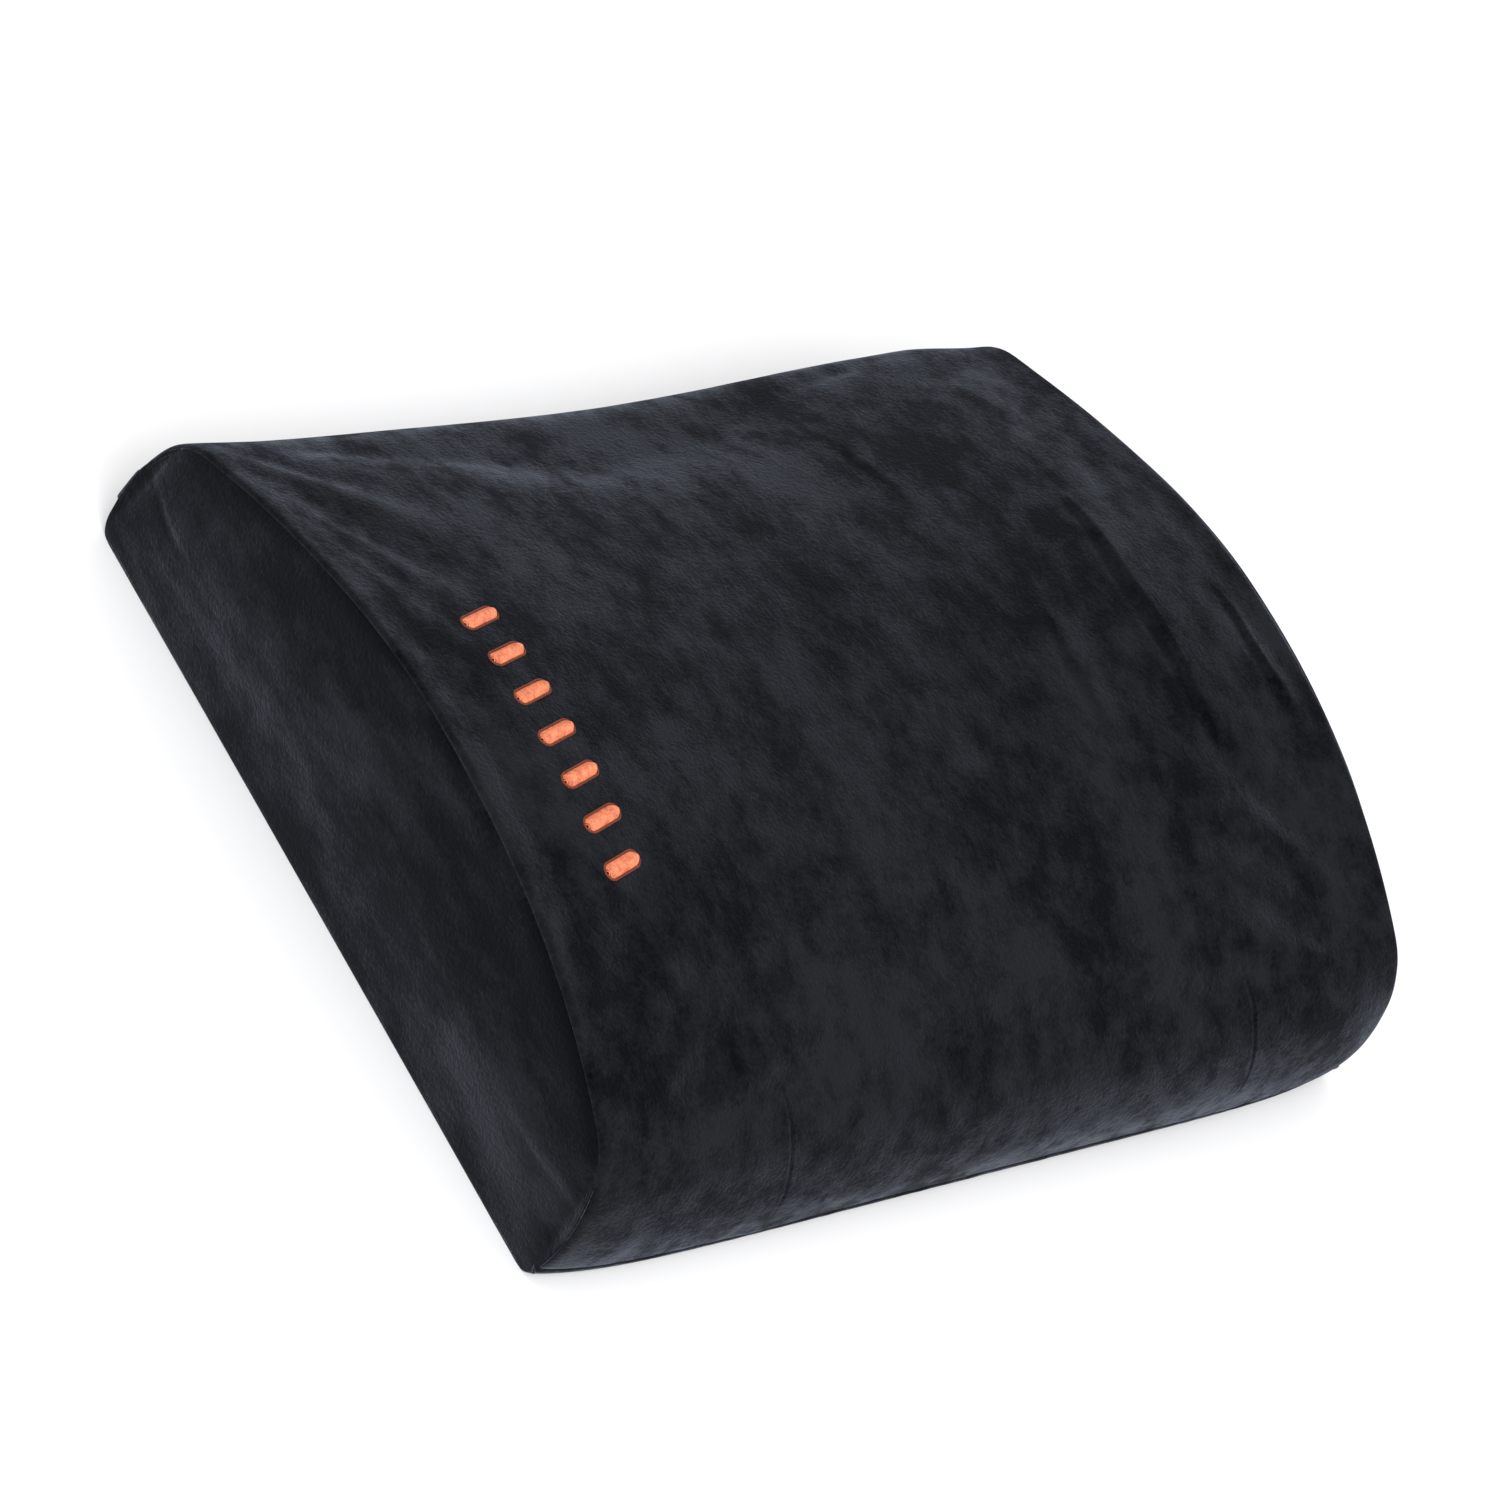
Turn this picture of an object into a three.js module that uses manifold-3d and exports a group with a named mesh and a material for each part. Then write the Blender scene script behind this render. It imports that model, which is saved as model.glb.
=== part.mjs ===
// Lumbar support cushion: a moulded foam core in a thin liner, inside a zipped velour cover.
// Millimetres. The cushion lies on its flat back: +X runs across it, +Y from its bottom end to its top end,
// and +Z from the back to the crowned front. The origin is the middle of the back face.
import * as THREE from "three";
import { mergeVertices } from "three/addons/utils/BufferGeometryUtils.js";
import Module from "manifold-3d";

const wasm = await Module();
wasm.setup();

// The cover's outside
const WIDTH = 380; // gusset face to gusset face
const HEIGHT = 295; // bottom end to top end, along the back
const THICKNESS = 90; // crown of the front above the back, beside the gussets
const END_THICKNESS = 54; // where the crowned front meets each end face
const END_LEAN = 5; // each end face leans in by this much over END_THICKNESS
const FRONT_EDGE_RADIUS = 12; // soft turn between the front and each end face
const BACK_EDGE_RADIUS = 5; // turn between the back and each end face
const CROWN_SHIFT = 5; // the crown lies this far above the middle
const CROWN_POWER_TOP = 1.75; // shape of the front arc from the crown to the top end
const CROWN_POWER_BOTTOM = 2.4; // and from the crown to the bottom end
const DISH_DEPTH = 12; // the front sinks this much midway between the gussets
const DISH_POWER = 2.4; // how evenly it sinks across the width
const FLAT_RISE = 10; // below this height the cover isn't dished

// Layers, from the outside in
const COVER = 1.6; // velour and its backing
const LINER = 0.8; // knitted inner bag
const GAP = 0.3; // between pieces that lie on each other or are sewn together
const ZIP_ROOM = 0.6; // between the slider's inner plate and the liner
const BACK_SEAM_RISE = 6; // seam of the front and back panels, on the bottom end face
const LINER_SEAM_RISE = 40; // seam of the liner's two halves

// The zip on the top end face
const SLOT_MARGIN = 17.5; // from each gusset face to the end of the zip's slot
const SLOT_ROOM = 0.5; // between the slider and each edge of the slot
const TAPE_WIDTH = 9;
const TAPE_TUCK = 3; // the tapes run on past the slot's ends
const TAPE_THICKNESS = 0.6;
const COIL_THICKNESS = 2.2;
const COIL_REACH = 2.6; // from the chain's centre line to the outside of a row
const COIL_SPINE = 1.3; // from the centre line to the inside of a row's spine
const TOOTH_ROOM = 0.4; // between a tooth's tip and the other row's spine
const TOOTH_PITCH = 4;
const STOP_LENGTH = 2.5;
const STOP_MARGIN = 1.5; // from a stop to the end of the slot
const STOP_INNER = 0.6; // from the centre line to a top stop

const SLIDER_LENGTH = 11;
const SLIDER_SIDE_ROOM = 1.3; // between the chain and each flange
const SLIDER_TAPER = 1; // the rear is narrower by this much on each side
const PLATE_THICKNESS = 1;
const FLANGE_THICKNESS = 0.6;
const WEDGE_SETBACK = 0.3; // from the slider's front end
const WEDGE_LENGTH = 2.8;
const WEDGE_WIDTH = 2.4;
const BRIDGE_WIDTH = 1.8;
const BRIDGE_LENGTH = 6.8;
const BRIDGE_WALL = 0.8;

const PIN_RADIUS = 0.55;
const PIN_ROOM = 0.4; // between the pin and the bridge, and between the pin and the plate
const TAB_LENGTH = 24;
const TAB_WIDTH = 7;
const TAB_ARM = 1.2; // width of each arm beside the bridge
const TAB_THICKNESS = 1;
const TAB_WINDOW_ROOM = 1; // past the bridge, in the opening that it passes through
const TAB_HOLE_RADIUS = 1.6;

// Embroidered bars beside the left gusset
const BAR_COUNT = 7;
const BAR_LENGTH = 17;
const BAR_WIDTH = 5;
const BAR_PITCH = 16;
const BAR_SLANT = THREE.MathUtils.degToRad(16);
const BARS_FROM_GUSSET = 43; // gusset face to the middle of the bars
const BARS_MIDDLE = -9; // middle of the row, along +Y
const THREAD = 0.6; // how thick the stitches lie

// How finely curves are cut
const ARC_STEPS = 18;
const EDGE_STEPS = 4;
const WIDTH_STEPS = 14;

const LEAN_ANGLE = Math.atan(END_LEAN / END_THICKNESS);
const PANEL_HALF = WIDTH / 2 - COVER - GAP;
const SLOT_HALF = WIDTH / 2 - SLOT_MARGIN;

// The chain runs along the middle of the end face's flat part, where the dish leaves that narrowest.
const TURN_RISE = END_THICKNESS - FRONT_EDGE_RADIUS;
const TURN_DROP = (DISH_DEPTH * (TURN_RISE - FLAT_RISE)) / (THICKNESS - FLAT_RISE);
const ZIP_RISE = (BACK_EDGE_RADIUS + TURN_RISE - TURN_DROP) / 2;

// Depths below the end face's outer surface
const TAPE_DEPTH = COVER + GAP;
const COIL_DEPTH = TAPE_DEPTH + (TAPE_THICKNESS - COIL_THICKNESS) / 2;
const PLATE_OUTER = COIL_DEPTH - GAP - PLATE_THICKNESS; // the outer plate's top
const PLATE_INNER = COIL_DEPTH + COIL_THICKNESS + GAP; // the inner plate's near side
const ZIP_DEPTH = PLATE_INNER + PLATE_THICKNESS;
const TOP_SETBACK = ZIP_DEPTH + ZIP_ROOM - COVER - GAP; // the liner and foam keep back from the zip

const SLIDER_WIDTH = 2 * (COIL_REACH + SLIDER_SIDE_ROOM + FLANGE_THICKNESS);
const SLOT_WIDTH = SLIDER_WIDTH + 2 * SLOT_ROOM;
const SLIDER_REST = SLOT_HALF - STOP_MARGIN - STOP_LENGTH - GAP - SLIDER_LENGTH / 2;
const WEDGE_END = SLIDER_LENGTH / 2 - WEDGE_SETBACK;
const WEDGE_START = WEDGE_END - WEDGE_LENGTH;
const CHAIN_START = -(SLOT_HALF - STOP_MARGIN - STOP_LENGTH - GAP);
const CHAIN_END = SLIDER_REST + WEDGE_START - GAP;
const BRIDGE_OPENING = 2 * (PIN_RADIUS + PIN_ROOM);
const PIN_RISE = BRIDGE_OPENING / 2; // the pull's pin above the outer plate
const TAB_ROOT_WIDTH = BRIDGE_WIDTH + 2 * (GAP + TAB_ARM);
const TAB_WINDOW = BRIDGE_LENGTH / 2 + TAB_WINDOW_ROOM;
const BIG = 2 * (WIDTH + HEIGHT + THICKNESS); // larger than the cushion, for cutting boxes

const velour = new THREE.MeshStandardMaterial({ color: 0x27272c, roughness: 0.95, metalness: 0 });
const gussetVelour = new THREE.MeshStandardMaterial({ color: 0x232327, roughness: 0.95, metalness: 0 });
const foam = new THREE.MeshStandardMaterial({ color: 0xe9e2cf, roughness: 0.9, metalness: 0 });
const knit = new THREE.MeshStandardMaterial({ color: 0xd8d8d4, roughness: 0.9, metalness: 0 });
const tapeWeave = new THREE.MeshStandardMaterial({ color: 0x1b1b1d, roughness: 0.85, metalness: 0 });
const nylon = new THREE.MeshStandardMaterial({ color: 0x161618, roughness: 0.5, metalness: 0 });
const blackMetal = new THREE.MeshStandardMaterial({ color: 0x202022, roughness: 0.4, metalness: 0.8 });
const orangeThread = new THREE.MeshStandardMaterial({ color: 0xf07a45, roughness: 0.55, metalness: 0 });

const cushion = new THREE.Group();

function addPiece(parent, name, geometry, material) {
  const mesh = new THREE.Mesh(geometry, material);
  mesh.name = name;
  parent.add(mesh);
  return mesh;
}

function solidOf(geometry) {
  const bare = geometry.clone();
  bare.deleteAttribute("normal");
  bare.deleteAttribute("uv");
  const merged = mergeVertices(bare, 1e-4);
  return new wasm.Manifold(
    new wasm.Mesh({
      numProp: 3,
      vertProperties: merged.attributes.position.array,
      triVerts: new Uint32Array(merged.index.array),
    }),
  );
}

function geometryOf(solid) {
  const mesh = solid.getMesh();
  const geometry = new THREE.BufferGeometry();
  geometry.setAttribute("position", new THREE.BufferAttribute(mesh.vertProperties, 3));
  geometry.setIndex(new THREE.BufferAttribute(mesh.triVerts, 1));
  geometry.computeVertexNormals();
  return geometry;
}

// Height of the front arc at y, on a layer that lies `inset` inside the cover's outer face.
function crownRise(y, inset) {
  const side = y > CROWN_SHIFT ? 1 : -1;
  const reach = HEIGHT / 2 - END_LEAN - side * CROWN_SHIFT;
  const power = side > 0 ? CROWN_POWER_TOP : CROWN_POWER_BOTTOM;
  const share = Math.abs(y - CROWN_SHIFT) / reach;
  const slope = (power * (THICKNESS - END_THICKNESS) * share ** (power - 1)) / reach;
  return END_THICKNESS + (THICKNESS - END_THICKNESS) * (1 - share ** power) - inset * Math.hypot(1, slope);
}

// How far an end face lies from the middle at height z, on a layer `inset` inside the outer face.
function endReach(z, inset) {
  return HEIGHT / 2 - (END_LEAN * z) / END_THICKNESS - inset / Math.cos(LEAN_ANGLE);
}

// The D-shaped outline across the cushion, in (y, z), of a layer `inset` inside the cover's outer face.
// A layer's top end can keep back further by `setback`.
function outline(inset, setback = 0) {
  const frontRadius = FRONT_EDGE_RADIUS - inset;
  const backRadius = Math.max(BACK_EDGE_RADIUS - inset, GAP);
  const ends = [1, -1].map((side) => {
    const reach = (z) => side * (endReach(z, inset) - (side > 0 ? setback : 0));
    let z = END_THICKNESS;
    for (let i = 0; i < 6; i++) z = crownRise(reach(z), inset);
    return { side, reach, cornerY: reach(z), cornerZ: z };
  });
  const [top, bottom] = ends;
  const arcTop = top.cornerY - frontRadius;
  const arcBottom = bottom.cornerY + frontRadius;
  const shape = new THREE.Shape();
  shape.moveTo(bottom.reach(inset) + backRadius, inset);
  shape.lineTo(top.reach(inset) - backRadius, inset);
  shape.quadraticCurveTo(top.reach(inset), inset, top.reach(inset + backRadius), inset + backRadius);
  shape.lineTo(top.reach(top.cornerZ - frontRadius), top.cornerZ - frontRadius);
  shape.quadraticCurveTo(top.cornerY, top.cornerZ, arcTop, crownRise(arcTop, inset));
  for (let i = 1; i <= ARC_STEPS; i++) {
    const y = THREE.MathUtils.lerp(arcTop, arcBottom, i / ARC_STEPS);
    shape.lineTo(y, crownRise(y, inset));
  }
  const bottomTurn = bottom.cornerZ - frontRadius;
  shape.quadraticCurveTo(bottom.cornerY, bottom.cornerZ, bottom.reach(bottomTurn), bottomTurn);
  shape.lineTo(bottom.reach(inset + backRadius), inset + backRadius);
  shape.quadraticCurveTo(bottom.reach(inset), inset, bottom.reach(inset) + backRadius, inset);
  return shape;
}

// Sinks the front between the gussets. Points slide along the leaning end faces, so those stay flat.
function dish(geometry) {
  const position = geometry.attributes.position;
  for (let i = 0; i < position.count; i++) {
    const across = Math.min(Math.abs(position.getX(i)) / (WIDTH / 2), 1);
    const height = Math.max(position.getZ(i) - FLAT_RISE, 0) / (THICKNESS - FLAT_RISE);
    const drop = DISH_DEPTH * (1 - across ** DISH_POWER) * height;
    position.setZ(i, position.getZ(i) - drop);
    position.setY(i, position.getY(i) * (1 + (drop * END_LEAN) / END_THICKNESS / (HEIGHT / 2)));
  }
  return geometry;
}

const acrossWidth = new THREE.Matrix4().makeBasis(
  new THREE.Vector3(0, 1, 0),
  new THREE.Vector3(0, 0, 1),
  new THREE.Vector3(1, 0, 0),
);

// Extrudes a (y, z) outline from x = start to x = end and dishes it.
function layerGeometry(shape, start, end, steps) {
  const settings = { depth: end - start, steps, bevelEnabled: false, curveSegments: EDGE_STEPS };
  const geometry = new THREE.ExtrudeGeometry(shape, settings);
  geometry.applyMatrix4(acrossWidth).translate(start, 0, 0);
  return dish(geometry);
}

function layerSolid(inset, half, setback = 0) {
  return solidOf(layerGeometry(outline(inset, setback), -half, half, WIDTH_STEPS));
}

function boxSolid(low, high) {
  const size = high.clone().sub(low);
  const geometry = new THREE.BoxGeometry(size.x, size.y, size.z);
  return solidOf(geometry.translate(low.x + size.x / 2, low.y + size.y / 2, low.z + size.z / 2));
}

// Everything below the panels' seams: the zip's line on the top end and the back seam on the bottom end.
function belowSeams(shift) {
  const low = new THREE.Vector3(-BIG, -BIG, -BIG);
  const top = boxSolid(low.clone().setY(0), new THREE.Vector3(BIG, BIG, ZIP_RISE + shift));
  return top.add(boxSolid(low, new THREE.Vector3(BIG, 0, BACK_SEAM_RISE + shift)));
}

// Foam core
const foamInset = COVER + GAP + LINER + GAP;
const foamShape = outline(foamInset, TOP_SETBACK);
const foamHalf = WIDTH / 2 - foamInset;
addPiece(cushion, "foam_core", layerGeometry(foamShape, -foamHalf, foamHalf, WIDTH_STEPS), foam);

// Liner: a front and a back half, sewn together round the foam
const linerInset = COVER + GAP;
const linerBag = layerSolid(linerInset, WIDTH / 2 - linerInset, TOP_SETBACK).subtract(
  layerSolid(linerInset + LINER, WIDTH / 2 - linerInset - LINER, TOP_SETBACK),
);
const linerCut = (shift) =>
  boxSolid(new THREE.Vector3(-BIG, -BIG, -BIG), new THREE.Vector3(BIG, BIG, LINER_SEAM_RISE + shift));
addPiece(cushion, "liner_front", geometryOf(linerBag.subtract(linerCut(GAP / 2))), knit);
addPiece(cushion, "liner_back", geometryOf(linerBag.intersect(linerCut(-GAP / 2))), knit);

// The zip's own frame on the top end face: X along the chain, Y out of the face and Z up the face
const zip = new THREE.Group();
zip.position.set(0, endReach(ZIP_RISE, 0), ZIP_RISE);
zip.rotation.x = LEAN_ANGLE;
zip.updateMatrix();
cushion.add(zip);

// Cover: a front panel that wraps both ends, a back panel and two D-shaped gussets
const coverTube = layerSolid(0, PANEL_HALF).subtract(layerSolid(COVER, PANEL_HALF + COVER));
const slotGeometry = new THREE.BoxGeometry(2 * SLOT_HALF, 2 * ZIP_DEPTH, SLOT_WIDTH).applyMatrix4(zip.matrix);
const slot = solidOf(slotGeometry);
const frontPanel = coverTube.subtract(belowSeams(GAP / 2)).subtract(slot);
const backPanel = coverTube.intersect(belowSeams(-GAP / 2)).subtract(slot);
addPiece(cushion, "cover_front_panel", geometryOf(frontPanel), velour);
addPiece(cushion, "cover_back_panel", geometryOf(backPanel), velour);
const rightGusset = layerGeometry(outline(0), WIDTH / 2 - COVER, WIDTH / 2, 1);
const leftGusset = layerGeometry(outline(0), -WIDTH / 2, -WIDTH / 2 + COVER, 1);
addPiece(cushion, "gusset_right", rightGusset, gussetVelour);
addPiece(cushion, "gusset_left", leftGusset, gussetVelour);

// Embroidery: slanted bars of satin stitch that follow the front's arc
function barShape() {
  const end = (BAR_LENGTH - BAR_WIDTH) / 2;
  const shape = new THREE.Shape();
  shape.absarc(end, 0, BAR_WIDTH / 2, -Math.PI / 2, Math.PI / 2);
  shape.absarc(-end, 0, BAR_WIDTH / 2, Math.PI / 2, (3 * Math.PI) / 2);
  return shape;
}
const stitchSkin = layerSolid(-GAP - THREAD, PANEL_HALF).subtract(layerSolid(-GAP, PANEL_HALF + COVER));
const barSettings = { depth: THICKNESS, bevelEnabled: false, curveSegments: EDGE_STEPS };
for (let i = 0; i < BAR_COUNT; i++) {
  const prism = new THREE.ExtrudeGeometry(barShape(), barSettings);
  const y = BARS_MIDDLE + BAR_PITCH * ((BAR_COUNT - 1) / 2 - i);
  prism.rotateZ(BAR_SLANT).translate(-WIDTH / 2 + BARS_FROM_GUSSET, y, END_THICKNESS - FRONT_EDGE_RADIUS);
  const bar = geometryOf(stitchSkin.intersect(solidOf(prism)));
  addPiece(cushion, `embroidered_bar_${i + 1}`, bar, orangeThread);
}

// A plate cut from an outline in the zip's (x, z) plane, from `depth` below the face down by `thickness`.
function plateGeometry(shape, depth, thickness) {
  const settings = { depth: thickness, bevelEnabled: false, curveSegments: EDGE_STEPS };
  const geometry = new THREE.ExtrudeGeometry(shape, settings);
  return geometry.rotateX(Math.PI / 2).translate(0, -depth, 0);
}

function rectangle(x0, x1, z0, z1) {
  const corners = [new THREE.Vector2(x0, z0), new THREE.Vector2(x1, z0)];
  return new THREE.Shape([...corners, new THREE.Vector2(x1, z1), new THREE.Vector2(x0, z1)]);
}

// Tapes, sewn under the edges of the slot
const tapeInner = COIL_REACH + GAP;
const tapeHalf = SLOT_HALF + TAPE_TUCK;
for (const [side, word] of [[1, "upper"], [-1, "lower"]]) {
  const tape = rectangle(-tapeHalf, tapeHalf, side * tapeInner, side * (tapeInner + TAPE_WIDTH));
  addPiece(zip, `zip_tape_${word}`, plateGeometry(tape, TAPE_DEPTH, TAPE_THICKNESS), tapeWeave);
}

// One row of the chain: a spine with a tooth at every pitch, the two rows half a pitch apart
function chainRow(side) {
  const toothHalf = TOOTH_PITCH / 4 - GAP / 2;
  const toothTip = -side * (COIL_SPINE - TOOTH_ROOM);
  const first = CHAIN_START + TOOTH_PITCH * (side > 0 ? 0.5 : 1);
  const count = Math.floor((CHAIN_END - toothHalf - first) / TOOTH_PITCH) + 1;
  const shape = new THREE.Shape();
  shape.moveTo(CHAIN_START, side * COIL_SPINE);
  for (let i = 0; i < count; i++) {
    const x = first + i * TOOTH_PITCH;
    shape.lineTo(x - toothHalf, side * COIL_SPINE);
    shape.lineTo(x - toothHalf, toothTip);
    shape.lineTo(x + toothHalf, toothTip);
    shape.lineTo(x + toothHalf, side * COIL_SPINE);
  }
  shape.lineTo(CHAIN_END, side * COIL_SPINE);
  shape.lineTo(CHAIN_END, side * COIL_REACH);
  shape.lineTo(CHAIN_START, side * COIL_REACH);
  return shape;
}
addPiece(zip, "zip_coil_upper", plateGeometry(chainRow(1), COIL_DEPTH, COIL_THICKNESS), nylon);
addPiece(zip, "zip_coil_lower", plateGeometry(chainRow(-1), COIL_DEPTH, COIL_THICKNESS), nylon);

// Stops: one on each tape at the closed end, and one across both tapes at the open end
const stopEnd = SLOT_HALF - STOP_MARGIN;
const stops = {
  zip_stop_top_upper: rectangle(stopEnd - STOP_LENGTH, stopEnd, STOP_INNER, COIL_REACH),
  zip_stop_top_lower: rectangle(stopEnd - STOP_LENGTH, stopEnd, -COIL_REACH, -STOP_INNER),
  zip_stop_bottom: rectangle(-stopEnd, -stopEnd + STOP_LENGTH, -COIL_REACH, COIL_REACH),
};
for (const [name, shape] of Object.entries(stops)) {
  addPiece(zip, name, plateGeometry(shape, COIL_DEPTH, COIL_THICKNESS), blackMetal);
}

// Slider: two plates joined by the wedge at the front, with flanges that leave a slit for each tape
function sliderPlate() {
  const half = SLIDER_LENGTH / 2;
  const front = SLIDER_WIDTH / 2;
  const rear = front - SLIDER_TAPER;
  const shape = new THREE.Shape();
  shape.moveTo(-half, -rear + 1);
  shape.quadraticCurveTo(-half, -rear, -half + 1, -rear);
  shape.lineTo(0, -front);
  shape.lineTo(half - 2, -front);
  shape.quadraticCurveTo(half, -front, half, -front + 2);
  shape.lineTo(half, front - 2);
  shape.quadraticCurveTo(half, front, half - 2, front);
  shape.lineTo(0, front);
  shape.lineTo(-half + 1, rear);
  shape.quadraticCurveTo(-half, rear, -half, rear - 1);
  return shape;
}

function bridgeShape() {
  const half = BRIDGE_LENGTH / 2;
  const inner = half - BRIDGE_WALL;
  const top = BRIDGE_OPENING + BRIDGE_WALL;
  const shape = new THREE.Shape();
  shape.moveTo(-half, -PLATE_THICKNESS / 2);
  shape.lineTo(-half, top - 1);
  shape.quadraticCurveTo(-half, top, -half + 1, top);
  shape.lineTo(half - 1, top);
  shape.quadraticCurveTo(half, top, half, top - 1);
  shape.lineTo(half, -PLATE_THICKNESS / 2);
  shape.lineTo(inner, -PLATE_THICKNESS / 2);
  shape.lineTo(inner, BRIDGE_OPENING);
  shape.lineTo(-inner, BRIDGE_OPENING);
  shape.lineTo(-inner, -PLATE_THICKNESS / 2);
  return shape;
}

const outerFlange = TAPE_DEPTH - GAP - (PLATE_OUTER + PLATE_THICKNESS);
const innerFlange = PLATE_INNER - GAP - (TAPE_DEPTH + TAPE_THICKNESS);
let slider = solidOf(plateGeometry(sliderPlate(), PLATE_OUTER, PLATE_THICKNESS));
slider = slider.add(solidOf(plateGeometry(sliderPlate(), PLATE_INNER, PLATE_THICKNESS)));
const wedge = rectangle(WEDGE_START, WEDGE_END, -WEDGE_WIDTH / 2, WEDGE_WIDTH / 2);
const wedgeDepth = PLATE_OUTER + PLATE_THICKNESS / 2;
const wedgeHeight = PLATE_INNER - PLATE_OUTER;
slider = slider.add(solidOf(plateGeometry(wedge, wedgeDepth, wedgeHeight)));
for (const side of [1, -1]) {
  const outside = (side * SLIDER_WIDTH) / 2;
  const shape = rectangle(0, SLIDER_LENGTH / 2 - 2, outside, outside - side * FLANGE_THICKNESS);
  const bite = PLATE_THICKNESS / 2;
  const upper = plateGeometry(shape, PLATE_OUTER + PLATE_THICKNESS - bite, outerFlange + bite);
  const lower = plateGeometry(shape, PLATE_INNER - innerFlange, innerFlange + bite);
  slider = slider.add(solidOf(upper)).add(solidOf(lower));
}
const bridgeSettings = { depth: BRIDGE_WIDTH, bevelEnabled: false, curveSegments: EDGE_STEPS };
const bridge = new THREE.ExtrudeGeometry(bridgeShape(), bridgeSettings);
slider = slider.add(solidOf(bridge.translate(0, -PLATE_OUTER, -BRIDGE_WIDTH / 2)));
addPiece(zip, "zip_slider_body", geometryOf(slider), blackMetal).position.x = SLIDER_REST;

// Pull tab: a plate with a window round the bridge, on a cross pin held under the bridge
function tabShape() {
  const root = TAB_ROOT_WIDTH / 2;
  const far = TAB_WIDTH / 2;
  const shape = new THREE.Shape();
  shape.moveTo(0, -root);
  shape.lineTo(0, root);
  shape.lineTo(-TAB_WINDOW - 1, root);
  shape.lineTo(-TAB_LENGTH + far, far);
  shape.absarc(-TAB_LENGTH + far, 0, far, Math.PI / 2, (3 * Math.PI) / 2);
  shape.lineTo(-TAB_WINDOW - 1, -root);
  shape.holes.push(rectangle(-TAB_WINDOW, -PIN_RADIUS / 2, -BRIDGE_WIDTH / 2 - GAP, BRIDGE_WIDTH / 2 + GAP));
  const hole = new THREE.Path();
  hole.absarc(-TAB_LENGTH + far, 0, TAB_HOLE_RADIUS, 0, 2 * Math.PI);
  shape.holes.push(hole);
  return shape;
}
const tab = solidOf(plateGeometry(tabShape(), -TAB_THICKNESS / 2, TAB_THICKNESS));
const pin = new THREE.CylinderGeometry(PIN_RADIUS, PIN_RADIUS, TAB_ROOT_WIDTH, 12).rotateX(Math.PI / 2);
const pull = addPiece(zip, "zip_pull_tab", geometryOf(tab.add(solidOf(pin))), blackMetal);
pull.position.set(SLIDER_REST, PIN_RISE - PLATE_OUTER, 0);

export default cushion;
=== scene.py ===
import math

import bmesh
import bpy
import numpy as np
from mathutils import Matrix, Vector, noise
from mathutils.bvhtree import BVHTree
from mathutils.kdtree import KDTree


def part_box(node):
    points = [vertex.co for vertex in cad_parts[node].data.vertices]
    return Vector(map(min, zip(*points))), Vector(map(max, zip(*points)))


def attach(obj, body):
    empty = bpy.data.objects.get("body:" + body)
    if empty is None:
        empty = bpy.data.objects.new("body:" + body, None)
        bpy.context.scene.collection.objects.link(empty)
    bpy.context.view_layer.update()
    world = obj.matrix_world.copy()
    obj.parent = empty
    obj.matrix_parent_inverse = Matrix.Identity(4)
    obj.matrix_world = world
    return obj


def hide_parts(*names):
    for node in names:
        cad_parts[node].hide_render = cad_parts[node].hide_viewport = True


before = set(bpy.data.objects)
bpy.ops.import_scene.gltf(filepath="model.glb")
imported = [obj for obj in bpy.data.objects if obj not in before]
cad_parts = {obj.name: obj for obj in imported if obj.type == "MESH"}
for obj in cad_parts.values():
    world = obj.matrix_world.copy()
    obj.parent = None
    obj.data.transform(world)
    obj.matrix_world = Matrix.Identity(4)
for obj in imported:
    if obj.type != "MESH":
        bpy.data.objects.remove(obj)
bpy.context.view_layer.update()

# ---------------------------------------------------------------------------------------------------------
# The foam core: one moulded block of memory foam, D-shaped in section, that gives the cushion its form.
# It is poured in a mould, so its edges are softly rounded and its skin is full of fine open cells.

MM = 0.001
gusset_low, gusset_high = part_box("gusset_left")
HALF_WIDTH = -gusset_low.x
HALF_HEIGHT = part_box("cover_back_panel")[1].y
THICKNESS = gusset_high.z
END_THICKNESS = 54 * MM  # where the crowned front meets each end face
END_LEAN = 5 * MM  # each end face leans in by this much over END_THICKNESS
CROWN_SHIFT = 5 * MM  # the crown lies this far above the middle
CROWN_POWER_TOP = 1.75
CROWN_POWER_BOTTOM = 2.4
DISH_DEPTH = 13 * MM  # the front sinks this much midway between the gussets
DISH_POWER = 2.4
FLAT_RISE = 10 * MM  # below this height nothing is dished
END_BULGE = 5.8 * MM  # the bottom end is pressed out this much midway between the gussets
END_ROUND = 4.5 * MM  # the bottom end swells this much at half its height, and the top end beside the gussets
END_ROUND_FROM = 0.86  # the top end swells from this share of the half width outwards
SIDE_FULLNESS = 3.5 * MM  # the right side is this much fuller than the left
CORNER_FULLNESS = 9 * MM  # and the front's upper edge there this much
CORNER_REACH = (-20 * MM, 140 * MM)  # it fills out between these distances to the right of the middle
CORNER_EASE = 145 * MM  # and eases from here to the gusset, whose seam holds it in
LEAN = END_LEAN / END_THICKNESS


def crown_rise(y, inset):
    """Height of the front arc at y, for a layer that lies `inset` inside the cover."""
    side = 1 if y > CROWN_SHIFT else -1
    reach = HALF_HEIGHT - END_LEAN - side * CROWN_SHIFT
    power = CROWN_POWER_TOP if side > 0 else CROWN_POWER_BOTTOM
    share = abs(y - CROWN_SHIFT) / reach
    rise = THICKNESS - END_THICKNESS
    slope = power * rise * share ** (power - 1) / reach
    return END_THICKNESS + rise * (1 - share**power) - inset * math.hypot(1, slope)


def end_reach(z, inset):
    """How far an end face lies from the middle at height z."""
    return HALF_HEIGHT - LEAN * z - inset


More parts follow.
